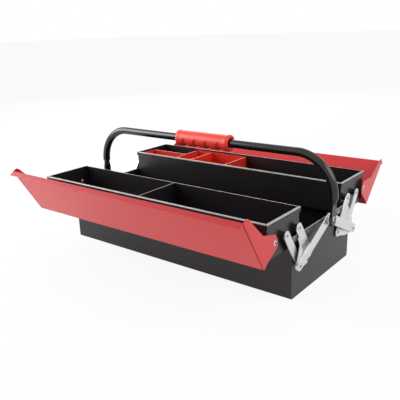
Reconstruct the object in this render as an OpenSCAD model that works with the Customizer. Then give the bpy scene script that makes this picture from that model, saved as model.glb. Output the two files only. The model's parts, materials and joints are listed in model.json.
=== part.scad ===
// Cantilever toolbox in folded sheet steel. Two upper trays swing out of the way on links
// at both ends, each under its own half lid, and a bent tube handle drives all the links.
// +X runs along the box, -Y is its front and +Z is up, with the origin under its middle.
// The trays stand open: one tray half is drawn at +Y and mirrored, and so is each end.

/* [Box] */
// Length of the lower box over its end walls
box_length = 450; // [380:5:520]
// Depth of the lower box over its long walls
box_depth = 190; // [184:1:198]
// Height of the end walls, which stand up past the trays
end_height = 95; // [90:0.5:96]
// Height of the long walls that the trays rest on
side_height = 78.7; // [74:0.1:80]
// Thickness of all the steel sheet
sheet = 1; // [0.8:0.05:1.1]
// Outer radius of the bends along the floor of the box and the trays
bend_radius = 3; // [2:0.25:5]
// Height of the folded hem on the end walls
end_hem = 9; // [6:0.5:10]
// Height of the folded hem on the long walls
side_hem = 6; // [4:0.5:9]

/* [Trays] */
// Depth of one tray over its rims
tray_depth = 89; // [86:0.5:92]
// Height of one tray
tray_height = 52; // [46:0.5:56]
// Distance from the outside of a box end to the outside of a tray end
tray_inset = 4.5; // [4:0.25:6]
// How far the tray rims are turned out
rim_out = 1.5; // [1.25:0.25:2.5]
// How far the turned rims come down
rim_drop = 7; // [5:0.5:9]
// Gap between the two tray rims when the trays are together
tray_gap = 3; // [2:0.25:5]
// Place of the cross divider along the front tray
divider_x = -6; // [-60:1:60]
// How far the divider ends under the tray rim
divider_drop = 0.5; // [0:0.5:6]
// Width of the foot of the divider
divider_foot = 10; // [6:1:16]

/* [Organiser] */
// Length of the plastic organiser along the rear tray
insert_length = 207; // [195:1:212]
// Wall thickness of the organiser
insert_wall = 1.6; // [1.2:0.1:2.2]
// How far the organiser stays under the tray rim
insert_drop = 3.5; // [2:0.5:8]
// Length of its long narrow cell
insert_long_cell = 86; // [60:1:90]
// Depth of its long narrow cell, front to back
insert_narrow = 41; // [30:1:50]
// Length of its middle cell
insert_mid_cell = 36; // [24:1:48]

/* [Linkage] */
// Half of the distance that the trays travel
link_reach = 32.75; // [31:0.25:34]
// Height of the fixed pivots on the box ends
pivot_height = 57; // [54:0.5:59]
// Distance of the link rivets under the tray rim
rivet_drop = 26.5; // [25:0.5:28]
// Distance from the inner tray rim to the first link rivet
rivet_inset = 14; // [13:0.25:16]
// Distance between the two link rivets of a tray
rivet_spacing = 34; // [33:0.25:36]
// Gap between the hems of the box ends and the links
hem_gap = 0.4; // [0.3:0.05:0.6]
// Thickness of the link steel
link_thick = 1.6; // [1.4:0.1:1.8]
// Width of the outer carrying links
link_width = 13; // [12:0.25:14]
// Width of the cranks and of the drive links that run to the handle
drive_width = 15; // [13:0.25:16]
// Length of the crank arm, sideways from its pivot
arm_reach = 40; // [38:0.25:42]
// How far the end of the crank arm lies under its pivot
arm_drop = 4.5; // [3:0.25:6]
// How far the crank arm stands out past the rest of the crank
arm_step = 4.6; // [3.6:0.1:5]
// Distance from the middle of the crank bar to the first bend of the crank
bend_in = 10; // [9.5:0.25:11]
// Distance from the middle of the crank bar to the second bend of the crank
bend_out = 17.5; // [15:0.25:19]
// Length of the crank bar from the fixed pivot to the top of its web
web_top = 47; // [44:0.5:48]
// Distance from the fixed pivot to the outer corner of the web, along the bar
web_corner = 40.5; // [38:0.5:42]
// How far the corner of the crank web lies inside the round end of its arm
web_inset = 1; // [0.5:0.25:2]

/* [Rivets] */
// Radius of the rivet shanks
pin_r = 2.5; // [2:0.1:2.8]
// Radius of the rivet heads
head_r = 3.7; // [3.4:0.1:3.8]
// Height of the rivet heads
head_h = 0.8; // [0.6:0.05:0.9]
// Radius of the dimple in a rivet head
dimple_r = 1.7; // [0.8:0.1:1.8]
// Outer radius of the black spacers
spacer_r = 4.8; // [4.2:0.1:5.4]
// Gap between parts that slide past each other
slide_gap = 0.3; // [0.25:0.05:0.35]
// Play of a rivet in a turning hole
pin_play = 0.05; // [0.03:0.01:0.08]

/* [Lids] */
// Width of a lid from its hinge side to its free edge
lid_width = 89; // [87:0.5:90]
// Distance of the lid rivets from the inner tray rim
lid_rivet_inset = 78.5; // [78:0.25:80]
// Distance from the lid rivet to the inside of the lid
lid_rise = 35.5; // [34:0.5:37]
// How far the lid reaches out past its rivet
lid_overhang = 11; // [10.5:0.25:11.5]
// Height of the lip along the free edge
lid_lip = 8; // [4:0.5:10]
// Width of the folded hem along the hinge side
lid_hem = 4; // [3:0.5:6]
// Height of the middle of an ear's round end over its rivet
ear_rise = 3; // [2:0.5:6]
// Radius of the round end of an ear
ear_round = 10.5; // [9:0.25:10.5]
// Radius of the shoulder beside the round end
ear_shoulder = 6.5; // [5:0.5:8]
// Distance from the rivet to the middle of the shoulder
shoulder_x = 6; // [4:0.5:8]
// Distance from the rivet to the end of the ear's slanted edge
ear_slant = 31; // [26:1:33]
// Radius of the inner corner at the end of the slanted edge
ear_fillet = 9; // [4:0.5:12]
// Height of the ear's edge over its rivet, at the free end
ear_free = 20; // [17:0.5:22]
// Radius of the ear's corner at the free end
ear_corner = 10; // [4:0.5:12]
// How far an ear narrows between its round end and the lid
ear_neck = 1; // [0:0.25:2]
// Opening of the front lid from its closed place, in degrees
front_lid_open = 121; // [100:1:128]
// Opening of the rear lid from its closed place, in degrees
rear_lid_open = 135.5; // [100:0.5:136]

/* [Handle] */
// Height of the handle rivets with the trays open
handle_pivot = 96; // [94:0.5:98]
// Rise of the handle bar over its rivets
handle_rise = 93.5; // [91:0.5:105]
// Diameter of the handle tube
tube_d = 13.5; // [11:0.25:14.5]
// Radius of the handle bends at the middle of the tube
handle_bend = 62; // [45:1:63]
// Thickness of the flattened tube ends
flat_thick = 3.6; // [3:0.1:4.5]
// Width of the flattened tube ends
flat_width = 14; // [12:0.25:18]
// Length of the flattened tube over the rivet
flat_length = 16; // [14:0.5:20]
// Length of the flattened tube under the rivet
flat_end = 11; // [10:0.5:12]
// Gap between the drive links and the flattened tube ends
handle_gap = 1.6; // [1.2:0.1:2]
// Length of the plastic grip
grip_length = 108; // [100:1:124]
// Distance from the middle of the box to the middle of the grip
grip_shift = 5.5; // [0:0.5:8]
// Outer diameter of the grip
grip_d = 27; // [24:0.5:30]
// Radius of the shoulders at the ends of the grip
shoulder = 5; // [3:0.5:6.5]
// Distance from the left end of the grip to the first finger groove
groove_lead = 12; // [9:0.5:16]
// Distance from one finger groove to the next
groove_pitch = 22; // [18:0.5:25]
// Number of finger grooves under the grip
grooves = 4; // [3:1:4]
// Radius of the section of a finger groove
groove_r = 6; // [4:0.25:8]
// Depth of the finger grooves under the grip
groove_depth = 3; // [1:0.1:4]
// Angle from the underside up to where a finger groove runs out
groove_turn = 100; // [80:1:120]

/* [Hidden] */
$fn = 48;
// How far a straight edge bites into the round that it runs into
round_bite = 0.01;

// Colours
steel_black = "#3a3839";
lid_red = "#cf3a38";
zinc = "#c9c7c9";
grip_red = "#f0493c";
spacer_black = "#1a1a1b";

// Faces across the box ends, counted outwards from the middle
end_x = box_length / 2;
hem_x = end_x + sheet;
tray_x = end_x - tray_inset;
link_x = hem_x + hem_gap;
arm_x = link_x + arm_step;
front_drive_x = arm_x + link_thick + slide_gap;
rear_drive_x = front_drive_x + link_thick + slide_gap;
handle_x = rear_drive_x + link_thick + handle_gap;
tube_x = handle_x + flat_thick / 2;

// Heights and depths of the open trays, at +Y
tray_floor = side_height + slide_gap;
rim_z = tray_floor + tray_height;
tray_in_y = tray_gap / 2 + 2 * link_reach;
tray_mid_y = tray_in_y + tray_depth / 2;
tray_wall = tray_depth - 2 * rim_out;
rivet_z = rim_z - rivet_drop;

// Pivots as points of the end view, [depth, height]
crank_top = [tray_in_y + rivet_inset, rivet_z];
link_top = crank_top + [rivet_spacing, 0];
crank_pin = [crank_top[0] - link_reach, pivot_height];
link_pin = crank_pin + [rivet_spacing, 0];
arm_end = crank_pin + [arm_reach, -arm_drop];
lid_pin = [tray_in_y + lid_rivet_inset, rivet_z];
handle_pin = [0, handle_pivot];
link_length = norm(crank_top - crank_pin);
link_angle = atan2(crank_top[1] - crank_pin[1], link_reach);

// ---------------------------------------------------------------- helpers
// A flat outline of the end view, made into a plate that starts at x
module plate(x, thick) {
    translate([x, 0, 0]) rotate([90, 0, 90]) linear_extrude(thick) children();
}

// Children at a point of the end view, turned to run outwards along X from x
module on_axis(x, point) {
    translate([x, point[0], point[1]]) rotate([0, 90, 0]) children();
}

module left() {
    mirror([1, 0, 0]) children();
}

module front() {
    mirror([0, 1, 0]) children();
}

// The outline of a straight bar with round ends between two points
module bar(from, to, width) {
    run = to - from;
    translate(from) rotate(atan2(run[1], run[0])) {
        translate([0, -width / 2]) square([norm(run), width]);
        for (end = [0, norm(run)]) translate([end, 0]) circle(width / 2);
    }
}

// A rivet from start to finish along its axis, with a head at each end and a dimple outside
module rivet(start, finish) {
    difference() {
        union() {
            translate([0, 0, start]) cylinder(r = pin_r, h = finish - start);
            translate([0, 0, finish]) dome();
            translate([0, 0, start]) mirror([0, 0, 1]) dome();
        }
        translate([0, 0, finish - head_h / 2]) cylinder(r = dimple_r, h = 2 * head_h);
    }
}

module dome() {
    round_r = (head_r * head_r + head_h * head_h) / (2 * head_h);
    intersection() {
        translate([0, 0, head_h - round_r]) sphere(round_r, $fn = 96);
        cylinder(r = head_r, h = head_h);
    }
}

module spacer(start, finish) {
    difference() {
        translate([0, 0, start]) cylinder(r = spacer_r, h = finish - start);
        translate([0, 0, start - 1]) cylinder(r = pin_r, h = finish - start + 2);
    }
}

// ---------------------------------------------------------------- box
// Section of a sheet bent up on both sides, standing on its floor
module channel(depth, height) {
    difference() {
        channel_block(depth, height, bend_radius);
        translate([0, sheet]) channel_block(depth - 2 * sheet, height, bend_radius - sheet);
    }
}

module channel_block(depth, height, r) {
    translate([-depth / 2, r]) square([depth, height - r]);
    translate([-depth / 2 + r, 0]) square([depth - 2 * r, 2 * r]);
    for (side = [-1, 1]) translate([side * (depth / 2 - r), r]) circle(r);
}

// A flat hem folded outwards over the top edge of a wall whose outside is at x = 0
module hem(height, drop) {
    translate([0, height - drop]) square([sheet, drop - sheet]);
    translate([0, height - sheet]) intersection() {
        circle(sheet);
        translate([-sheet, 0]) square(2 * sheet);
    }
}

module box_shell() {
    inner = end_x - sheet;
    color(steel_black) plate(-inner, 2 * inner) {
        channel(box_depth, side_height - sheet);
        for (side = [0, 1]) mirror([side, 0]) translate([box_depth / 2, 0]) hem(side_height, side_hem);
    }
}

module box_end() {
    color(steel_black) difference() {
        union() {
            plate(end_x - sheet, sheet) end_outline(end_height - sheet);
            translate([0, box_depth / 2, 0]) rotate([90, 0, 0]) linear_extrude(box_depth)
                translate([end_x, 0]) hem(end_height, end_hem);
        }
        for (side = [-1, 1], pin = [crank_pin, link_pin])
            on_axis(end_x - 2 * sheet, [side * pin[0], pin[1]]) cylinder(r = pin_r, h = 4 * sheet);
    }
}

module end_outline(height) {
    translate([-box_depth / 2, bend_radius]) square([box_depth, height - bend_radius]);
    translate([bend_radius - box_depth / 2, 0]) square([box_depth - 2 * bend_radius, 2 * bend_radius]);
    for (side = [-1, 1]) translate([side * (box_depth / 2 - bend_radius), bend_radius]) circle(bend_radius);
}

module box_rivets() {
    for (side = [-1, 1], pin = [crank_pin, link_pin]) on_axis(0, [side * pin[0], pin[1]]) color(zinc) {
        rivet(end_x - sheet, link_x + link_thick + slide_gap);
        spacer(end_x, link_x - slide_gap);
    }
}

// ---------------------------------------------------------------- trays, at +Y
// A rim turned out and down from the top of a wall whose outside is at x = 0
module rim() {
    roll = 2 * sheet;
    translate([-sheet, tray_height - sheet]) square([rim_out + sheet - roll, sheet]);
    translate([rim_out - sheet, tray_height - rim_drop]) square([sheet, rim_drop - roll]);
    translate([rim_out - roll, tray_height - roll]) intersection() {
        difference() {
            circle(roll);
            circle(roll - sheet);
        }
        square(roll);
    }
}

module tray() {
    inner = tray_x - sheet;
    color(steel_black) translate([0, tray_mid_y, tray_floor]) plate(-inner, 2 * inner) {
        channel(tray_wall, tray_height);
        for (side = [0, 1]) mirror([side, 0]) translate([tray_wall / 2, 0]) rim();
    }
}

module tray_end() {
    color(steel_black) difference() {
        union() {
            translate([0, tray_mid_y, tray_floor]) plate(tray_x - sheet, sheet)
                channel_block(tray_wall, tray_height, bend_radius);
            translate([0, tray_mid_y + tray_depth / 2, tray_floor]) rotate([90, 0, 0])
                linear_extrude(tray_depth) translate([tray_x, 0]) rim();
        }
        for (pin = [crank_top, link_top, lid_pin])
            on_axis(tray_x - 2 * sheet, pin) cylinder(r = pin_r, h = 3 * sheet);
    }
}

module tray_rivets() {
    color(zinc) {
        for (pin = [crank_top, link_top])
            on_axis(0, pin) rivet(tray_x - sheet, link_x + link_thick + slide_gap);
        on_axis(0, lid_pin) rivet(tray_x - sheet, link_x + sheet + slide_gap);
    }
}

module tray_spacers() {
    for (pin = [crank_top, link_top, lid_pin])
        color(spacer_black) on_axis(0, pin) spacer(tray_x, link_x - slide_gap);
}

// An upright sheet with a foot on the tray floor
module divider() {
    room = tray_wall - 2 * sheet;
    color(steel_black) translate([divider_x, tray_mid_y - room / 2, tray_floor + sheet]) {
        translate([0, 0, bend_radius]) cube([sheet, room, tray_height - sheet - bend_radius - divider_drop]);
        translate([0, bend_radius, 0]) cube([divider_foot, room - 2 * bend_radius, sheet]);
        translate([0, bend_radius, 0]) cube([sheet, room - 2 * bend_radius, 2 * bend_radius]);
    }
}

// ---------------------------------------------------------------- organiser in the rear tray
module insert_cell(x, y, length, depth) {
    translate([x, y, insert_wall]) cube([length, depth, tray_height]);
}

module rear_insert() {
    room = tray_wall - 2 * sheet - 2 * slide_gap;
    high = tray_height - sheet - insert_drop;
    long_room = insert_long_cell + 2 * insert_wall;
    mid_x = long_room;
    last_x = mid_x + insert_mid_cell + insert_wall;
    full = room - 2 * insert_wall;
    left_x = sheet + head_h + slide_gap - tray_x;
    color(grip_red) translate([left_x, tray_mid_y - room / 2, tray_floor + sheet]) {
        difference() {
            cube([insert_length, room, high]);
            translate([-1, insert_narrow + 2 * insert_wall, -1])
                cube([long_room - insert_wall + 1, room, high + 2]);
            insert_cell(insert_wall, insert_wall, insert_long_cell, insert_narrow);
            insert_cell(mid_x, insert_wall, insert_mid_cell, full);
            insert_cell(last_x, insert_wall, insert_length - insert_wall - last_x, full);
            for (y = [-1, room - bend_radius + 1])
                translate([-1, y, -1]) cube([insert_length + 2, bend_radius, bend_radius]);
        }
    }
}

// ---------------------------------------------------------------- lids
// The end ear of a lid, with its rivet at the origin and the lid above it
module ear() {
    free = lid_width - lid_overhang;
    top = lid_rise + sheet;
    low = ear_rise - ear_round;
    slant_start = [shoulder_x, low + ear_shoulder] + (ear_shoulder - round_bite) * [sin(45), -cos(45)];
    waist = slant_start + (ear_slant - slant_start[0]) * [1, 1];
    rise = atan2(ear_free - waist[1], free - ear_corner - waist[0]);
    half_turn = (45 - rise) / 2;
    tangent = ear_fillet * tan(half_turn);
    away = ear_fillet / cos(half_turn) - round_bite;
    difference() {
        union() {
            polygon([
                [-lid_overhang, top], [-lid_overhang, lid_rise - sheet],
                [ear_neck - ear_round, lid_rise - ear_round], [-ear_round, ear_rise], [0, low],
                [shoulder_x, low], slant_start, waist - tangent * [cos(45), sin(45)],
                waist + tangent * [cos(rise), sin(rise)], [free - ear_corner, ear_free],
                [free, ear_free + ear_corner], [free, top]
            ]);
            translate([0, ear_rise]) circle(ear_round);
            translate([shoulder_x, low + ear_shoulder]) circle(ear_shoulder);
            translate([free - ear_corner, ear_free + ear_corner]) intersection() {
                circle(ear_corner);
                translate([0, -ear_corner]) square(ear_corner);
            }
        }
        translate(waist + away * [sin(45 - half_turn), -cos(45 - half_turn)])
            circle(ear_fillet);
        circle(pin_r + pin_play);
    }
}

// Section of the lid sheet: panel, lip along the free edge, hem along the hinge side
module lid_section() {
    free = lid_width - lid_overhang;
    translate([-lid_overhang, lid_rise]) square([lid_width, sheet]);
    translate([free - sheet, lid_rise]) square([sheet, lid_lip + sheet]);
    translate([-lid_overhang, lid_rise - sheet]) square([lid_hem, sheet]);
}

module lid(opening) {
    half = link_x;
    color(lid_red) translate([0, lid_pin[0], lid_pin[1]]) mirror([0, 1, 0]) rotate([opening, 0, 0]) {
        plate(-half, 2 * half) lid_section();
        plate(half, sheet) ear();
        plate(-half - sheet, sheet) ear();
    }
}

// ---------------------------------------------------------------- links
module link_holes(points) {
    for (point = points) translate(point) circle(pin_r + pin_play);
}

module outer_link() {
    color(zinc) plate(link_x, link_thick) difference() {
        bar(link_pin, link_top, link_width);
        link_holes([link_pin, link_top]);
    }
}

// Three-hole plate: tray rivet at the top, fixed pivot and the arm for the drive link
module crank() {
    along = (crank_top - crank_pin) / link_length;
    across = [along[1], -along[0]];
    corner = crank_pin + along * web_corner + across * bend_out;
    elbow = arm_end + [cos(45), sin(45)] * (drive_width / 2 - web_inset);
    color(zinc) bent_sheet() difference() {
        union() {
            bar(crank_pin, crank_top, drive_width);
            bar(crank_pin, arm_end, drive_width);
            polygon([
                arm_end, elbow, corner, crank_pin + along * web_top + across * bend_in,
                crank_pin + along * web_top, crank_pin
            ]);
        }
        link_holes([crank_pin, crank_top, arm_end]);
    }
}

// An outline cut from a sheet that is bent outwards along two lines beside the crank bar
module bent_sheet() {
    far = 2 * link_length;
    intersection() {
        plate(end_x, handle_x - end_x) children();
        translate([0, crank_pin[0], crank_pin[1]]) rotate([link_angle - 90, 0, 0])
            translate([0, 0, -far]) linear_extrude(2 * far) polygon([
                [link_x, -far], [link_x + link_thick, -far], [link_x + link_thick, bend_in],
                [arm_x + link_thick, bend_out], [arm_x + link_thick, far],
                [arm_x, far], [arm_x, bend_out], [link_x, bend_in]
            ]);
    }
}

module arm_rivet(drive_x) {
    color(zinc) on_axis(0, arm_end) {
        rivet(arm_x, drive_x + link_thick + slide_gap);
        if (drive_x > front_drive_x) spacer(arm_x + link_thick, drive_x - slide_gap);
    }
}

module drive_link(x) {
    color(zinc) plate(x, link_thick) difference() {
        bar(arm_end, handle_pin, drive_width);
        link_holes([arm_end, handle_pin]);
    }
}

// ---------------------------------------------------------------- handle
module handle_tube() {
    bar_z = handle_pivot + handle_rise;
    bend_z = bar_z - handle_bend;
    color("#242325") difference() {
        union() {
            for (end = [0, 1]) mirror([end, 0, 0]) {
                tube_end(bend_z);
                translate([tube_x - handle_bend, 0, bend_z]) rotate([90, 0, 0])
                    rotate_extrude(angle = 90) translate([handle_bend, 0]) circle(d = tube_d);
            }
            translate([handle_bend - tube_x, 0, bar_z]) rotate([0, 90, 0])
                cylinder(d = tube_d, h = 2 * (tube_x - handle_bend));
        }
        translate([-2 * end_x, 0, handle_pivot]) rotate([0, 90, 0]) cylinder(r = pin_r, h = 4 * end_x);
    }
}

// The pressed end of the tube: a flat tongue that a ridge tapers into from the round tube
module tube_end(top) {
    half = flat_width / 2;
    low = handle_pivot - flat_end + half;
    flare = handle_pivot + flat_length;
    tip_r = flat_thick / 4;
    hidden_half = tube_d / 3;
    plate(handle_x, flat_thick) {
        translate([0, low]) circle(half);
        polygon([
            [-half, low], [half, low], [half, flare], [hidden_half, top - sheet],
            [-hidden_half, top - sheet], [-half, flare]
        ]);
    }
    translate([tube_x, 0, flare]) cylinder(r1 = tip_r, r2 = tube_d / 2, h = top - flare);
}

// Round grip with soft shoulders and finger grooves that run out on its front and back
module handle_grip() {
    half = grip_length / 2;
    wall = (grip_d - tube_d) / 2;
    groove_rise = groove_depth / (1 - cos(groove_turn));
    ring_r = grip_d / 2 + groove_r - groove_depth + groove_rise;
    color(grip_red) translate([grip_shift, 0, handle_pivot + handle_rise]) difference() {
        rotate([0, 90, 0]) rotate_extrude($fn = 64) {
            translate([tube_d / 2, shoulder - half]) square([wall, grip_length - 2 * shoulder]);
            translate([tube_d / 2, -half]) square([wall - shoulder, grip_length]);
            for (end = [-1, 1]) translate([grip_d / 2 - shoulder, end * (half - shoulder)]) circle(shoulder);
        }
        translate([-half - 1, 0, 0]) rotate([0, 90, 0]) cylinder(d = tube_d, h = grip_length + 2);
        for (i = [0 : grooves - 1])
            translate([groove_lead + i * groove_pitch - half, 0, groove_rise]) rotate([0, 90, 0])
                rotate_extrude($fn = 64) translate([ring_r, 0]) circle(groove_r);
    }
}

module handle_rivet() {
    color(zinc) on_axis(0, handle_pin) difference() {
        union() {
            translate([0, 0, handle_x]) cylinder(r = pin_r, h = flat_thick);
            translate([0, 0, handle_x + slide_gap - handle_gap])
                cylinder(r = spacer_r, h = handle_gap - slide_gap);
            translate([0, 0, handle_x + flat_thick]) dome();
        }
        translate([0, 0, handle_x + flat_thick]) cylinder(r = dimple_r, h = 2 * head_h);
    }
}

box_shell();
left() box_end();  // box_end_left
box_end();  // box_end_right
left() box_rivets();  // box_rivets_left
box_rivets();  // box_rivets_right
front() tray();  // front_tray
front() left() tray_end();  // front_tray_end_left
front() tray_end();  // front_tray_end_right
front() divider();  // front_divider
front() left() tray_rivets();  // front_tray_rivets_left
front() tray_rivets();  // front_tray_rivets_right
front() left() tray_spacers();  // front_tray_spacers_left
front() tray_spacers();  // front_tray_spacers_right
tray();  // rear_tray
left() tray_end();  // rear_tray_end_left
tray_end();  // rear_tray_end_right
rear_insert();
left() tray_rivets();  // rear_tray_rivets_left
tray_rivets();  // rear_tray_rivets_right
left() tray_spacers();  // rear_tray_spacers_left
tray_spacers();  // rear_tray_spacers_right
front() lid(front_lid_open);  // front_lid
lid(rear_lid_open);  // rear_lid
front() left() outer_link();  // front_link_left
front() outer_link();  // front_link_right
left() outer_link();  // rear_link_left
outer_link();  // rear_link_right
front() left() crank();  // front_crank_left
front() crank();  // front_crank_right
left() crank();  // rear_crank_left
crank();  // rear_crank_right
front() left() arm_rivet(front_drive_x);  // front_arm_rivet_left
front() arm_rivet(front_drive_x);  // front_arm_rivet_right
left() arm_rivet(rear_drive_x);  // rear_arm_rivet_left
arm_rivet(rear_drive_x);  // rear_arm_rivet_right
front() left() drive_link(front_drive_x);  // front_drive_left
front() drive_link(front_drive_x);  // front_drive_right
left() drive_link(rear_drive_x);  // rear_drive_left
drive_link(rear_drive_x);  // rear_drive_right
handle_tube();
handle_grip();
left() handle_rivet();  // handle_rivet_left
handle_rivet();  // handle_rivet_right
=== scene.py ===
# %% [markdown]
# # A cantilever toolbox in folded steel
# The box is folded from thin sheet, coated with powder paint and riveted together. Two
# trays swing apart on zinc-plated links, each with its half of the lid, and a bent tube
# with a plastic grip carries it all. The CAD part already has every real piece in its
# place, so only the grip is modelled again, for its finger grooves. The other pieces
# get rolled corners, paint, plating or plastic, and then the box is lit.

# %% Load the CAD part
import json
import math

import bmesh
import bpy
from mathutils import Matrix, Vector

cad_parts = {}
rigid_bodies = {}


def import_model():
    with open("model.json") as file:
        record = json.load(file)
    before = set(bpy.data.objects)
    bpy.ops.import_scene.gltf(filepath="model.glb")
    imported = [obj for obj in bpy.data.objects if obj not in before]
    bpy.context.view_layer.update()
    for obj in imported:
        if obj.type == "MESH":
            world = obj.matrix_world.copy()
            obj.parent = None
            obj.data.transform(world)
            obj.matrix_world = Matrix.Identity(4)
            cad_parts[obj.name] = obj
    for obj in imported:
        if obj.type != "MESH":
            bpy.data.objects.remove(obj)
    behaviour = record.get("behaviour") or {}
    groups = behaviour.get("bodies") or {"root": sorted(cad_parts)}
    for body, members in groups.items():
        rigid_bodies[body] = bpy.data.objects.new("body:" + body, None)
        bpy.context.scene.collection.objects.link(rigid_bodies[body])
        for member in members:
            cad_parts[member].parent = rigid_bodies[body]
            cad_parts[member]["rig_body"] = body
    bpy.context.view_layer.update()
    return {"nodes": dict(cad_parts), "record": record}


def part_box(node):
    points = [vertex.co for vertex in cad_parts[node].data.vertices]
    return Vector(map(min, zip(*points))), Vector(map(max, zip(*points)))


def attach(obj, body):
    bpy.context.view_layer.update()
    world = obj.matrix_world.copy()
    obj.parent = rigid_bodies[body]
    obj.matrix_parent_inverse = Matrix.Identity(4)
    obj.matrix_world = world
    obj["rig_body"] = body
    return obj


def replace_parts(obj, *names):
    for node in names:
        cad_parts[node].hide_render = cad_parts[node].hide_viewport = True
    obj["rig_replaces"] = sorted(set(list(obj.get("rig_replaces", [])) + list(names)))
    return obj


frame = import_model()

nodes = frame["nodes"]
slot_of = {s["node"]: s["material_slot"] for s in frame["record"]["subparts"]}
mm = 0.001

# %% [markdown]
# ## The view
# The box is seen from its front right and a little above, with a normal lens. A camera
# can be pointed with a constraint, but three plain turns say more clearly where it
# looks: a small roll, then up from looking straight down, then around the box.

# %% Camera
def place_camera(place, yaw, pitch, roll, lens):
    data = bpy.data.cameras.new("view")
    data.sensor_width = 36
    data.lens = lens
    camera = bpy.data.objects.new("view", data)
    around = Matrix.Rotation(math.radians(yaw), 4, "Z")
    up = Matrix.Rotation(math.radians(90 - pitch), 4, "X")
    tilt = Matrix.Rotation(math.radians(roll), 4, "Z")
    camera.matrix_world = Matrix.Translation(place) @ around @ up @ tilt
    bpy.context.scene.collection.objects.link(camera)
    bpy.context.scene.camera = camera
    return camera


camera = place_camera((0.5482, -0.6983, 0.3676), yaw=38.53, pitch=17.74, roll=-1.89, lens=48.29)
print("camera", tuple(round(v, 3) for v in camera.location))

# %% [markdown]
# ## Building shader nodes
# A material is a small tree of nodes. In the editor it is wired by hand. In a script,
# these helpers add a node, set its inputs by name, and link those inputs that are given
# as another node's output, so that each material further down reads as a recipe.

# %% Helpers for shader nodes
def plug(tree, value, socket):
    if isinstance(value, bpy.types.NodeSocket):
        tree.links.new(value, socket)
    else:
        socket.default_value = value


def wire(tree, kind, props=None, **inputs):
    """Add a node. In an input's name, _ stands for a space."""
    node = tree.nodes.new(kind)
    for name, value in (props or {}).items():
        setattr(node, name, value)
    for name, value in inputs.items():
        plug(tree, value, node.inputs[name.replace("_", " ")])
    return node


def maths(tree, operation, a, b):
    node = wire(tree, "ShaderNodeMath", {"operation": operation})
    plug(tree, a, node.inputs[0])
    plug(tree, b, node.inputs[1])
    return node.outputs[0]


def mix_colours(tree, share, a, b):
    node = wire(tree, "ShaderNodeMix", {"data_type": "RGBA"})
    plug(tree, share, node.inputs["Factor"])
    first, second = [s for s in node.inputs if s.type == "RGBA"]
    plug(tree, a, first)
    plug(tree, b, second)
    return next(s for s in node.outputs if s.type == "RGBA")


def spread(tree, value, low, high, to_low=0.0, to_high=1.0):
    """Stretch the range from low to high over the range from to_low to to_high."""
    node = wire(tree, "ShaderNodeMapRange", Value=value, From_Min=low, From_Max=high,
                To_Min=to_low, To_Max=to_high)
    return node.outputs["Result"]


def noise(tree, scale, detail=2.0, roughness=0.5, vector=None):
    where = vector or tree.nodes.new("ShaderNodeTexCoord").outputs["Object"]
    node = wire(tree, "ShaderNodeTexNoise", Vector=where, Scale=scale, Detail=detail, Roughness=roughness)
    return node.outputs[0]


def marked(tree, name):
    """The value of an attribute that some faces of a mesh carry, and 0 on all others."""
    return wire(tree, "ShaderNodeAttribute", {"attribute_name": name}).outputs["Fac"]


print("shader helpers ready")

# %% Helpers for node groups
def effect(name, inputs, outputs):
    """A node group whose sockets are given as {name: kind}."""
    tree = bpy.data.node_groups.new(name, "ShaderNodeTree")
    for label, kind in inputs.items():
        tree.interface.new_socket(label, in_out="INPUT", socket_type="NodeSocket" + kind)
    for label, kind in outputs.items():
        tree.interface.new_socket(label, in_out="OUTPUT", socket_type="NodeSocket" + kind)
    return tree, tree.nodes.new("NodeGroupInput").outputs, tree.nodes.new("NodeGroupOutput").inputs


def use(tree, group, **inputs):
    return wire(tree, "ShaderNodeGroup", {"node_tree": group}, **inputs).outputs


print("group helpers ready")

# %% [markdown]
# ## Effects that several finishes share
# Each effect could be wired again in every material, but as a node group it is built
# once and placed with other values in each.
# - **drift**: no painted, plated or moulded surface has one flat tone, so its colour
#   wanders slowly by a few per cent.
# - **peel**: powder paint melts into a skin like that of an orange, and moulded plastic
#   has a fine grain.
# - **wear and highlight**: sharp corners rub through first. They carry an attribute called `edge`. Up
#   to 1 it is broken up by noise, so that a corner rubs through in spots. What it has
#   above 1 is a painted highlight: the pale colour laid over a whole face, as on the rims.
# - **painted fold shade**: the shade beside a fold or under a turned edge is painted as a dark, dull
#   tone. The strip of faces there carries an attribute called `painted_fold_shade`.
# - **scuffs**: fine marks that run mostly one way.

# %% Drift and peel
def make_drift():
    tree, given, out = effect("drift", {"Colour": "Color", "Amount": "Float", "Scale": "Float"},
                              {"Colour": "Color"})
    slow = noise(tree, given["Scale"], detail=3.0)
    centred = maths(tree, "SUBTRACT", slow, 0.5)
    gain = maths(tree, "ADD", maths(tree, "MULTIPLY", centred, given["Amount"]), 1.0)
    shaded = wire(tree, "ShaderNodeHueSaturation", Color=given["Colour"], Value=gain)
    tree.links.new(shaded.outputs["Color"], out["Colour"])
    return tree


def make_peel():
    tree, given, out = effect("peel", {"Scale": "Float", "Grit": "Float"}, {"Height": "Float"})
    skin = noise(tree, given["Scale"], detail=1.0)
    grit = noise(tree, maths(tree, "MULTIPLY", given["Scale"], 4.0))
    height = maths(tree, "ADD", skin, maths(tree, "MULTIPLY", grit, given["Grit"]))
    tree.links.new(height, out["Height"])
    return tree


drift, peel = make_drift(), make_peel()
print("effects:", drift.name, peel.name)
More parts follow.
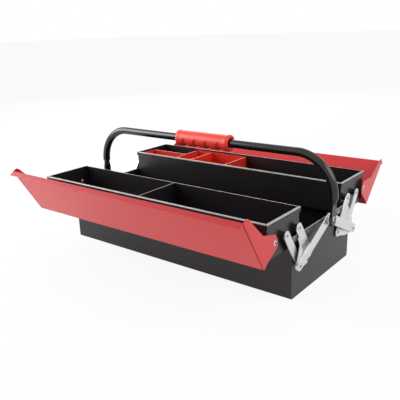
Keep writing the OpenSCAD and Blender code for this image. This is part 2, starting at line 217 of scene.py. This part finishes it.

# %% Wear, crease and scuffs
# Up to 1 the edge mark is wear on corners, rubbed through in spots; above 1 it is a painted highlight
# over a whole face.
def make_wear_and_highlight():
    tree, given, out = effect("wear_and_highlight", {"Reach": "Float", "Scale": "Float"}, {"Mask": "Float"})
    edge = marked(tree, "edge")
    rubbed_and_lit = noise(tree, given["Scale"], detail=4.0, roughness=0.7)
    threshold = maths(tree, "SUBTRACT", 1.0, given["Reach"])
    spots = spread(tree, rubbed_and_lit, threshold, maths(tree, "ADD", threshold, 0.12))
    corner = maths(tree, "MULTIPLY", spots, maths(tree, "MINIMUM", edge, 1.0))
    # The part past 1 is the painted highlight on rims and hems.
    past_one = maths(tree, "MAXIMUM", maths(tree, "SUBTRACT", edge, 1.0), 0.0)
    rim = maths(tree, "MULTIPLY", past_one, spread(tree, rubbed_and_lit, 0.3, 0.7, 0.75, 1.0))
    tree.links.new(maths(tree, "MINIMUM", maths(tree, "ADD", corner, rim), 1.0), out["Mask"])
    return tree


# Painted shade: a dark, dull tone on the strip of faces beside a fold, where shadow falls.
def make_painted_fold_shade():
    tree, given, out = effect("painted_fold_shade", {"Colour": "Color", "Roughness": "Float", "Dirt": "Color"},
                              {"Colour": "Color", "Roughness": "Float"})
    uneven = maths(tree, "MULTIPLY", marked(tree, "painted_fold_shade"),
                   spread(tree, noise(tree, 60.0), 0.2, 0.6, 0.75, 1.0))
    tree.links.new(mix_colours(tree, uneven, given["Colour"], given["Dirt"]), out["Colour"])
    dull = maths(tree, "MAXIMUM", given["Roughness"], maths(tree, "MULTIPLY", uneven, 0.95))
    tree.links.new(dull, out["Roughness"])
    return tree


def make_scuffs():
    tree, given, out = effect("scuffs", {"Scale": "Float", "Stretch": "Vector"}, {"Mask": "Float"})
    where = tree.nodes.new("ShaderNodeTexCoord").outputs["Object"]
    drawn = wire(tree, "ShaderNodeMapping", Vector=where, Scale=given["Stretch"]).outputs[0]
    lines = noise(tree, given["Scale"], detail=3.0, roughness=0.6, vector=drawn)
    tree.links.new(spread(tree, lines, 0.35, 0.7), out["Mask"])
    return tree


wear_and_highlight, painted_fold_shade, scuffs = make_wear_and_highlight(), make_painted_fold_shade(), make_scuffs()
print("effects:", wear_and_highlight.name, painted_fold_shade.name, scuffs.name)

# %% [markdown]
# ## Finishes
# All finishes start from the Principled shader. What is the same all over a surface is
# set on the shader itself, and what changes over the surface is linked to it. Heights
# go through a Bump node, because they are far too small to be modelled.

# %% Helpers for finishes
def start_finish(name, roughness, metallic=0.0, tint=(1, 1, 1, 1)):
    material = bpy.data.materials.new(name)
    material.use_nodes = True
    tree = material.node_tree
    shader = tree.nodes["Principled BSDF"]
    shader.inputs["Roughness"].default_value = roughness
    shader.inputs["Metallic"].default_value = metallic
    shader.inputs["Specular Tint"].default_value = tint
    return material, tree, shader


def bump(tree, shader, height, depth):
    raised = wire(tree, "ShaderNodeBump", Height=height, Distance=depth)
    tree.links.new(raised.outputs["Normal"], shader.inputs["Normal"])


print("finish helpers ready")

# %% [markdown]
# ## Powder paint
# Powder is sprayed dry onto the steel and baked until it flows, so it is a smooth and
# slightly glossy skin of one colour. Sheet pieces are black or red, and the handle's
# tube has a glossier black. Three materials could be wired by hand, but one function
# keeps them alike. The skin's waves are only 0.01 mm high, as higher ones would break
# the gloss into blotches. A rubbed corner is a dull grey on black and paler on red.
# The same grey is a painted highlight along the black rims and hems, and a dark, dull
# tone beside the folds is painted shade.

# %% Powder paint
def powder_paint(name, colour, rubbed_and_lit, dark_tone, roughness, tint=(1, 1, 1, 1)):
    material, tree, shader = start_finish(name, roughness, tint=tint)
    toned = use(tree, drift, Colour=colour, Amount=0.12, Scale=7.0)["Colour"]
    dullness = spread(tree, noise(tree, 14.0), 0.3, 0.7, roughness - 0.01, roughness + 0.015)
    # Beside folds the colour turns dark and dull: painted shade.
    folded = use(tree, painted_fold_shade, Colour=toned, Roughness=dullness, Dirt=dark_tone)
    worn_and_lit = use(tree, wear_and_highlight, Reach=0.42, Scale=70.0)["Mask"]
    tree.links.new(mix_colours(tree, worn_and_lit, folded["Colour"], rubbed_and_lit), shader.inputs["Base Color"])
    tree.links.new(folded["Roughness"], shader.inputs["Roughness"])
    skin = use(tree, peel, Scale=420.0, Grit=0.15)["Height"]
    bump(tree, shader, skin, 0.01 * mm)
    return material


# The second colour is that of rubbed corners and also the painted highlight on black rims and hems; the
# third is the painted shade beside folds.
black_steel = powder_paint("black_powder", colour=(0.0085, 0.0065, 0.0072, 1),
                           rubbed_and_lit=(0.46, 0.45, 0.455, 1), dark_tone=(0.002, 0.002, 0.002, 1),
                           roughness=0.34, tint=(1.0, 0.93, 0.98, 1))
red_steel = powder_paint("red_powder", colour=(0.58, 0.020, 0.023, 1),
                         rubbed_and_lit=(0.70, 0.07, 0.06, 1), dark_tone=(0.24, 0.001, 0.002, 1),
                         roughness=0.26)
black_gloss = powder_paint("black_enamel", colour=(0.006, 0.006, 0.0062, 1),
                           rubbed_and_lit=(0.03, 0.03, 0.03, 1), dark_tone=(0.002, 0.002, 0.002, 1),
                           roughness=0.16)
print("paints:", black_steel.name, red_steel.name, black_gloss.name)

# %% [markdown]
# ## Zinc plate
# Links, crank plates and rivets are plated in a bath, which leaves a pale metal with
# faint blotches, over the fine lines of the rolled sheet. An image of scratches would
# have to be unwrapped onto every piece. Noise that is squeezed in height gives level
# lines without that. Faces with the attribute `hole` are the rivets' dimples, which are painted a darker
# tone.

# %% Zinc plate
def zinc_plate(name, colour, lined, dark_tone):
    material, tree, shader = start_finish(name, 0.34, metallic=1.0)
    toned = use(tree, drift, Colour=colour, Amount=0.18, Scale=40.0)["Colour"]
    lines = use(tree, scuffs, Scale=60.0, Stretch=(1, 1, 14))["Mask"]
    plated = mix_colours(tree, lines, toned, lined)
    # The rivets' dimples are painted a darker tone.
    dimpled = mix_colours(tree, marked(tree, "hole"), plated, dark_tone)
    tree.links.new(dimpled, shader.inputs["Base Color"])
    tree.links.new(spread(tree, lines, 0.0, 1.0, 0.34, 0.42), shader.inputs["Roughness"])
    bump(tree, shader, lines, 0.008 * mm)
    return material


zinc = zinc_plate("zinc_plate", colour=(0.68, 0.675, 0.68, 1), lined=(0.76, 0.755, 0.76, 1),
                  dark_tone=(0.03, 0.029, 0.028, 1))
print("plating:", zinc.name)

# %% [markdown]
# ## Plastics
# The spacers, the organiser and the grip are moulded, so their colour goes all the way
# through, and a rubbed corner turns only a little paler. The mould leaves a grain of
# about a hundredth of a millimetre. Displaced vertices could show it, but at that size
# a bump looks the same and costs nothing.

# %% Plastics
def moulded(name, colour, roughness, grain, depth, amount=0.2):
    material, tree, shader = start_finish(name, roughness)
    toned = use(tree, drift, Colour=colour, Amount=amount, Scale=18.0)["Colour"]
    worn_and_lit = use(tree, wear_and_highlight, Reach=0.45, Scale=90.0)["Mask"]
    pale = tuple(min(1.0, c * 1.25 + 0.02) for c in colour[:3]) + (1,)
    tree.links.new(mix_colours(tree, worn_and_lit, toned, pale), shader.inputs["Base Color"])
    bump(tree, shader, use(tree, peel, Scale=grain, Grit=0.5)["Height"], depth)
    return material


spacer_black = moulded("spacer_plastic", (0.009, 0.009, 0.009, 1), 0.5, 1500.0, 0.02 * mm)
organiser_red = moulded("organiser_plastic", (0.62, 0.026, 0.012, 1), 0.36, 900.0, 0.01 * mm)
grip_red = moulded("grip_plastic", (0.80, 0.044, 0.028, 1), 0.40, 1100.0, 0.01 * mm, amount=0.1)
print("plastics:", spacer_black.name, organiser_red.name, grip_red.name)

# %% The finish of each slot
finish_of = {
    "black_steel": black_steel, "red_steel": red_steel, "zinc": zinc, "black_gloss": black_gloss,
    "spacer": spacer_black, "organiser": organiser_red, "grip": grip_red,
}
print(len(finish_of), "slots have a finish")

# %% [markdown]
# ## Pieces that stand in for CAD nodes
# A CAD node's own mesh stays as it is. Where a piece needs rounder corners or marked
# faces, a copy is worked on and then stands in for the node, with the same body, slot
# and finish. A CAD mesh is loose triangles, so its copy is first merged at the corners.
# Marks are attributes on the corners of faces, which the materials read.

# %% Copy a node, mark faces, stand in for a node
def merged_copy(node):
    bm = bmesh.new()
    bm.from_mesh(nodes[node].data)
    bmesh.ops.remove_doubles(bm, verts=bm.verts, dist=0.002 * mm)
    return bm


def mark(faces, layer, value):
    for face in faces:
        for loop in face.loops:
            loop[layer] = value


def stand_in(name, bm, node, crisp=None):
    """Replace a node by this mesh, whose edges stay crisp from an angle of crisp degrees."""
    for face in bm.faces:
        face.smooth = True
    mesh = bpy.data.meshes.new(name)
    bm.to_mesh(mesh)
    bm.free()
    if crisp:
        mesh.set_sharp_from_angle(angle=math.radians(crisp))
    mesh.materials.append(finish_of[slot_of[node]])
    piece = bpy.data.objects.new(name, mesh)
    bpy.context.scene.collection.objects.link(piece)
    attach(piece, nodes[node]["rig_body"])
    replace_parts(piece, node)
    return piece


print("copy helpers ready")

# %% Measures of the sheet pieces
# Faces are found by their place: the steel is 1 mm thick, and the slack is much less
# than that, but more than any rounding of the mesh.
sheet = 1.0 * mm
slack = 0.1 * mm


def outer_x(node):
    """How far a node reaches to its side, left or right."""
    return max(abs(corner[0]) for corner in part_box(node))


def top_z(node):
    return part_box(node)[1][2]


print("lid reaches", round(outer_x("front_lid") / mm, 1), "mm to each side")

# %% [markdown]
# ## The lids' ears
# A lid is a panel with a plate, its ear, turned down at each end. On the real lid the
# ears run out into a low nose towards the lid's free edge. The plates could be cut, but
# moving their vertices by a gradual share keeps the arcs of their outline. The lids
# stand open at rest, so distances are measured in each lid's own directions.

# %% Taper of the lids' ears
def lid_frame(node):
    """A lid's hinge, and its directions along the panel and out through it, at rest."""
    name = node + "_hinge"
    hinge = next(j for j in frame["record"]["behaviour"]["joints"] if j["name"] == name)
    angle, side = math.radians(hinge["range_deg"][1]), math.copysign(1, hinge["pos_m"][1])
    along = Vector((0, -side * math.cos(angle), math.sin(angle)))
    through = Vector((0, side * math.sin(angle), math.cos(angle)))
    return Vector(hinge["pos_m"]), along, through


def ramp(value, start, end):
    """0 up to the start, 1 from the end on, and even between them."""
    return min(1.0, max(0.0, (value - start) / (end - start)))


ear_trim = 4.5 * mm
neck, nose = 36 * mm, 68 * mm
ear_root, ear_foot = 34 * mm, 20 * mm


def trim_ears(node, bm):
    """Raise the ears' feet, more and more from the neck to the nose."""
    pin, along, through = lid_frame(node)
    ear = outer_x(node) - sheet - slack
    for vert in bm.verts:
        if abs(vert.co.x) > ear:
            reach, depth = (vert.co - pin).dot(along), (vert.co - pin).dot(through)
            share = ramp(reach, neck, nose) * ramp(depth, ear_root, ear_foot)
            vert.co += through * ear_trim * share


print("the ears taper by", round(ear_trim / mm, 1), "mm")

# %% [markdown]
# ## Painted shadows beside the folds
# Beside a lid's fold, under a tray's rim and under the box's hem runs a thin dark line of painted shadow.
# A pattern set by position would also run over the turned edges, so the flat faces are
# cut along both sides of the line, and only the strip between the cuts is marked.

# %% Strips in the shadow of a fold
panel_face = 36.5 * mm
rim_depth = 2.0 * mm
hem_foot = 86.0 * mm
lid_strip, rim_strip, hem_strip = (2.2 * mm, 0.45 * mm), (1.4 * mm, 0.1 * mm), (1.3 * mm, 0.1 * mm)


def back_from(fold, strip):
    """The limits of a strip whose two distances from the fold are given."""
    return fold - strip[0], fold - strip[1]


def fold_shadow(node):
    """A strip beside a fold: the axis across it, its two limits and a test of its faces."""
    outer = outer_x(node)
    if "lid" in node:
        pin, along, through = lid_frame(node)
        return 0, back_from(outer, lid_strip), lambda face, middle: (
            (middle - pin).dot(through) > panel_face - slack and face.normal.dot(through) > 0.99)
    if "tray_end" in node:
        return 2, back_from(top_z(node) - rim_depth, rim_strip), lambda face, middle: (
            abs(middle.x) > outer - slack)
    if "box_end" in node:
        return 2, back_from(hem_foot, hem_strip), lambda face, middle: (
            abs(middle.x) > outer - sheet - slack and abs(face.normal.x) > 0.9)
    return None


def score(bm, axis, limits):
    """Cut the faces at both limits of a strip. One across x lies on both sides of the box."""
    normal = [1 if i == axis else 0 for i in range(3)]
    for limit in limits:
        for side in (-1, 1) if axis == 0 else (1,):
            place = [side * limit if i == axis else 0 for i in range(3)]
            bmesh.ops.bisect_plane(bm, geom=bm.verts[:] + bm.edges[:] + bm.faces[:],
                                   dist=0.001 * mm, plane_co=place, plane_no=normal)


def shadowed_faces(bm, strip):
    axis, (near, far), test = strip
    middles = [(face, face.calc_center_median()) for face in bm.faces]
    return [face for face, middle in middles if near < abs(middle[axis]) < far and test(face, middle)]


print(sum(fold_shadow(n) is not None for n in nodes), "nodes have a fold in shadow")

# %% [markdown]
# ## Painted highlight on rims and hems, painted shade on lips
# The top edges of box and trays get a painted highlight: their faces take the pale colour
# all over, and the wide hem of the box ends takes it only slightly. The lip of an open lid
# faces up and gets painted shade, which darkens and dulls it a little. All this could be
# painted by hand, but faces that are picked by their direction and place stay right when a size changes.

# %% Painted highlight and shade, and wear of corners
corner_wear = 1.0
# The rims' and hems' values paint a highlight over whole faces.
rim_painted_highlight = 1.9
hem_painted_highlight = 1.12
# The lips' and the fold strips' values paint shade.
lip_painted_shade = 0.36
fold_painted_shade = 1.0


def top_faces(node, bm):
    """The upper side of a sheet's top edge."""
    low, steep = top_z(node) - 2 * sheet, 0.05 if "tray_end" in node else 0.35
    return [f for f in bm.faces if f.normal.z > steep and f.calc_center_median().z > low]


def hem_faces(node, bm):
    """The outer side of a box end's hem, with its rolled corners but not its top."""
    inner = outer_x(node) - 0.4 * mm
    return [f for f in bm.faces if f.normal.z < 0.5 and abs(f.calc_center_median().x) > inner]


def lip_faces(node, bm):
    """The side of a lid's lip that faces away from the hinge."""
    along = lid_frame(node)[1]
    return [f for f in bm.faces if f.normal.dot(along) > 0.95]


def mark_wear_and_painted_light(node, bm, corners, strip):
    edge, shade_layer = (bm.loops.layers.float.new(name) for name in ("edge", "painted_fold_shade"))
    mark(corners, edge, corner_wear)
    bm.normal_update()
    # Rims and hems get a painted highlight; lips and the strips beside folds get painted shade.
    if slot_of[node] == "black_steel":
        mark(top_faces(node, bm), edge, rim_painted_highlight)
    # An open lid's lip gets painted shade, which darkens and dulls it.
    if "lid" in node:
        mark(lip_faces(node, bm), shade_layer, lip_painted_shade)
    if "box_end" in node:
        mark(hem_faces(node, bm), edge, hem_painted_highlight)
    # The strip beside a fold gets painted shade.
    if strip:
        mark(shadowed_faces(bm, strip), shade_layer, fold_painted_shade)


print("marks of use: corners", corner_wear, "rims", rim_painted_highlight, "hems", hem_painted_highlight)

# %% [markdown]
# ## Rolled corners
# Sheet steel never ends in a perfectly sharp corner, and it is the rounded corner that
# catches the light. The copy's triangles are dissolved into whole faces, and its sharp
# edges are bevelled in the mesh rather than by a modifier, because the bevel's new faces
# can then be marked. A Weighted Normal modifier keeps the large faces flat to the eye.

# %% Roll the corners
def dress(node, corner, sharp_from=35):
    bm = merged_copy(node)
    if "lid" in node:
        trim_ears(node, bm)
    bmesh.ops.dissolve_limit(bm, angle_limit=math.radians(0.5), verts=bm.verts, edges=bm.edges)
    strip = fold_shadow(node)
    if strip:
        score(bm, *strip[:2])
    sharp = [e for e in bm.edges if e.is_manifold and e.calc_face_angle() > math.radians(sharp_from)]
    rolled = bmesh.ops.bevel(bm, geom=sharp, offset=corner, offset_type="OFFSET", affect="EDGES",
                             segments=2, profile=0.5, clamp_overlap=True, material=-1)
    mark_wear_and_painted_light(node, bm, rolled["faces"], strip)
    piece = stand_in("dressed_" + node, bm, node, crisp=sharp_from + 5)
    flat = piece.modifiers.new("flat faces", "WEIGHTED_NORMAL")
    flat.keep_sharp = True
    return piece


corner_of = {"black_steel": 0.3 * mm, "red_steel": 0.35 * mm, "zinc": 0.25 * mm, "organiser": 0.4 * mm}
dressed = [dress(n, corner_of[slot_of[n]]) for n in nodes
           if slot_of[n] in corner_of and "rivet" not in n]
print(len(dressed), "pieces with rolled corners,", sum(len(p.data.polygons) for p in dressed), "faces")

# %% [markdown]
# ## Rivets
# Each rivet is set with a punch that leaves a dimple in its outer head. The dimple is
# painted darker than the head around it. The CAD rivets already have
# the dimple's shape, so the copy only marks its faces as `hole`. A node may hold several
# rivets, and each is found by walking along its edges from any of its vertices.

# %% Rivets
def islands(bm):
    """The separate rivets in one mesh, each as a set of vertices."""
    waiting = set(bm.verts)
    while waiting:
        group, front = set(), [waiting.pop()]
        while front:
            vert = front.pop()
            group.add(vert)
            near = [e.other_vert(vert) for e in vert.link_edges]
            fresh = [v for v in near if v in waiting]
            waiting.difference_update(fresh)
            front.extend(fresh)
        yield group


def dimple_faces(rivet, dimple=1.9 * mm, head=1.6 * mm):
    """The faces of a rivet that are near its axis, in its outer head."""
    ys, zs = [v.co.y for v in rivet], [v.co.z for v in rivet]
    centre = Vector(((min(ys) + max(ys)) / 2, (min(zs) + max(zs)) / 2))
    outer = max(abs(v.co.x) for v in rivet)
    for face in {f for v in rivet for f in v.link_faces}:
        middle = face.calc_center_median()
        near = (Vector((middle.y, middle.z)) - centre).length < dimple
        if near and abs(middle.x) > outer - head:
            yield face


def set_rivets(node):
    bm = merged_copy(node)
    hole = bm.loops.layers.float.new("hole")
    for rivet in islands(bm):
        mark(dimple_faces(rivet), hole, 1.0)
    return stand_in("set_" + node, bm, node, crisp=40)


rivets = [set_rivets(n) for n in nodes if "rivet" in n]
print(len(rivets), "sets of rivets")

# %% [markdown]
# ## The grip
# The grip is one thick sleeve moulded on the handle's bar, with a collar at each end and
# four finger grooves underneath. A profile of the wall is drawn as a few vertices, its
# long outer line is cut into short steps, and the profile is spun around the bar. Each
# groove is then pressed in by moving the skin towards the bar under an arch. Cutting
# grooves with a second shape would leave hard edges that no mould makes.

# %% The sleeve
def grip_outline(length, radius, bore):
    """Places along the bar and distances from its middle, once around the wall."""
    end, waist = -length / 2, radius - 0.4 * mm
    mouth = [(end + 3 * mm, bore), (end, bore + 1.5 * mm)]
    shoulder = [(end, radius - 2.2 * mm), (end + 0.8 * mm, radius - 0.6 * mm)]
    collar = [(end + 2.6 * mm, radius), (end + 6 * mm, radius), (end + 8 * mm, waist)]
    half = mouth + shoulder + collar
    return half + [(-x, r) for x, r in reversed(half)]


def spin_sleeve(shift, outline):
    bm = bmesh.new()
    ring = [bm.verts.new((shift + x, 0, r)) for x, r in outline]
    lines = [bm.edges.new((a, b)) for a, b in zip(ring, ring[1:] + ring[:1])]
    body = lines[len(outline) // 2 - 1]
    bmesh.ops.subdivide_edges(bm, edges=[body], cuts=110)
    bmesh.ops.spin(bm, geom=bm.verts[:] + bm.edges[:], cent=(0, 0, 0), axis=(1, 0, 0), dvec=(0, 0, 0),
                   angle=math.tau, steps=96, use_merge=True, use_duplicate=False)
    bmesh.ops.remove_doubles(bm, verts=bm.verts, dist=0.01 * mm)
    bmesh.ops.recalc_face_normals(bm, faces=bm.faces)
    return bm


low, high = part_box("handle_grip")
grip_radius, bore_radius = 13.6 * mm, 6.8 * mm
sleeve = spin_sleeve((low[0] + high[0]) / 2, grip_outline(high[0] - low[0], grip_radius, bore_radius))
print("sleeve:", len(sleeve.faces), "faces")

# %% Finger grooves
def arch_depth(x, turn, centres, width, reach, depth):
    """How far the skin is pressed in at x, at an angle from straight down."""
    for centre in centres:
        inside = 1 - ((x - centre) / width) ** 2 - (turn / reach) ** 4
        if inside > 0:
            t = min(1.0, inside / 0.5)
            return depth * t * t * (3 - 2 * t)
    return 0.0


def press_grooves(bm, skin, centres, width, reach, depth):
    """Press in all that lies further from the bar's middle than the skin."""
    for vert in bm.verts:
        distance = math.hypot(vert.co.y, vert.co.z)
        if distance > skin:
            turn = math.atan2(abs(vert.co.y), -vert.co.z)
            sunk = arch_depth(vert.co.x, turn, centres, width, reach, depth)
            vert.co.y *= 1 - sunk / distance
            vert.co.z *= 1 - sunk / distance


first_groove, groove_pitch = -29.0 * mm, 23.7 * mm
fingers = [first_groove + groove_pitch * i for i in range(4)]
press_grooves(sleeve, grip_radius - 1 * mm, fingers, width=6.0 * mm, reach=math.radians(99),
              depth=1.5 * mm)
bmesh.ops.translate(sleeve, verts=sleeve.verts, vec=(0, 0, (low[2] + high[2]) / 2))
grip = stand_in("finger_grip", sleeve, "handle_grip")
print("grip:", len(fingers), "grooves,", len(grip.data.polygons), "faces")

# %% [markdown]
# ## Spacers and tube
# The spacers are small rings between the plates, and the handle is a drawn tube, bent
# and flattened at its ends. They could be copied like the rest, but their CAD meshes
# are smooth enough, so these nodes keep their own mesh and only get a finish.

# %% Finish the rest
replaced = {n for p in dressed + rivets + [grip] for n in p["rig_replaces"]}
plain = [n for n in nodes if n not in replaced]
for name in plain:
    mesh = nodes[name].data
    mesh.materials.clear()
    mesh.materials.append(finish_of[slot_of[name]])
print(len(plain), "CAD nodes keep their shape")

# %% [markdown]
# ## Floor
# The box stands on a wide pale floor that keeps its shadow. To the camera the floor is
# nearly white, and in the gloss of paint and metal it is a middling white, as in a
# studio where the lights are above the table. A brighter lamp could whiten it too, but
# would bleach the paint. The Light Path node tells who is looking.

# %% Floor
def eyes_on(tree, camera=1.0, gloss=1.0):
    """How white a thing looks to the camera and in a gloss; 0 for the light that objects get."""
    path = tree.nodes.new("ShaderNodeLightPath").outputs
    shiny = maths(tree, "MAXIMUM", path["Is Glossy Ray"], path["Is Transmission Ray"])
    shiny = maths(tree, "MULTIPLY", shiny, gloss)
    return maths(tree, "MAXIMUM", maths(tree, "MULTIPLY", path["Is Camera Ray"], camera), shiny)


def floor_paper(colour, glow, glow_in_gloss):
    material = bpy.data.materials.new("floor")
    material.use_nodes = True
    tree = material.node_tree
    paper = tree.nodes["Principled BSDF"]
    paper.inputs["Base Color"].default_value = colour
    paper.inputs["Roughness"].default_value = 0.9
    paper.inputs["Specular IOR Level"].default_value = 0.0
    white = wire(tree, "ShaderNodeEmission", Color=(1, 1, 1, 1), Strength=1.0)
    both = tree.nodes.new("ShaderNodeMixShader")
    tree.links.new(eyes_on(tree, camera=glow, gloss=glow_in_gloss), both.inputs[0])
    tree.links.new(paper.outputs[0], both.inputs[1])
    tree.links.new(white.outputs[0], both.inputs[2])
    tree.links.new(both.outputs[0], tree.nodes["Material Output"].inputs["Surface"])
    return material


def make_floor(half_width, material):
    bm = bmesh.new()
    bmesh.ops.create_grid(bm, x_segments=1, y_segments=1, size=half_width)
    mesh = bpy.data.meshes.new("floor")
    bm.to_mesh(mesh)
    bm.free()
    mesh.materials.append(material)
    floor = bpy.data.objects.new("floor", mesh)
    bpy.context.scene.collection.objects.link(floor)
    return floor


floor = make_floor(25.0, floor_paper((0.9, 0.9, 0.9, 1), glow=0.9, glow_in_gloss=0.5))
print("floor:", round(floor.dimensions.x), "m wide")

# %% [markdown]
# ## Lamps and sky
# An even white sky shows painted steel as it is. A large soft lamp at the front left
# gives the paint its slow gradient, one from the right lights the box's end and the
# links, and one from behind draws a line of light along the rims and lights the back.
# All three are wide discs, because a small bright lamp would leave a white spot in the
# gloss. The sky is fully white only to the camera and in a gloss.

# %% Lamps
def soft_lamp(name, place, target, size, power):
    data = bpy.data.lights.new(name, "AREA")
    data.shape = "DISK"
    data.size = size
    data.energy = power
    lamp = bpy.data.objects.new(name, data)
    aim = Vector(target) - Vector(place)
    lamp.matrix_world = Matrix.Translation(place) @ aim.to_track_quat("-Z", "Y").to_matrix().to_4x4()
    bpy.context.scene.collection.objects.link(lamp)
    return lamp


lamps = [
    soft_lamp("left", (-1.25, -0.8, 0.7), target=(-0.35, -0.3, 0.0), size=1.2, power=23),
    soft_lamp("right", (1.7, 0.3, 1.2), target=(0.1, 0, 0.1), size=1.2, power=16),
    soft_lamp("back", (-1.3, 1.6, 0.95), target=(0, 0, 0.1), size=1.4, power=15),
]
print("lamps:", [lamp.name for lamp in lamps])

# %% Sky
def white_sky(strength):
    world = bpy.data.worlds.new("sky")
    bpy.context.scene.world = world
    world.use_nodes = True
    tree = world.node_tree
    level = maths(tree, "ADD", maths(tree, "MULTIPLY", eyes_on(tree), 1.0 - strength), strength)
    sky = tree.nodes["Background"]
    sky.inputs["Color"].default_value = (1, 1, 1, 1)
    tree.links.new(level, sky.inputs["Strength"])
    return world


world = white_sky(0.55)
bpy.context.scene.view_settings.view_transform = "Standard"
print("world:", world.name)

# %% [markdown]
# ## Bring the scene up to date
# The finished pieces have to fill the same box as the CAD part. The view layer is
# updated once more, so that every piece stands in its place.

bpy.context.view_layer.update()
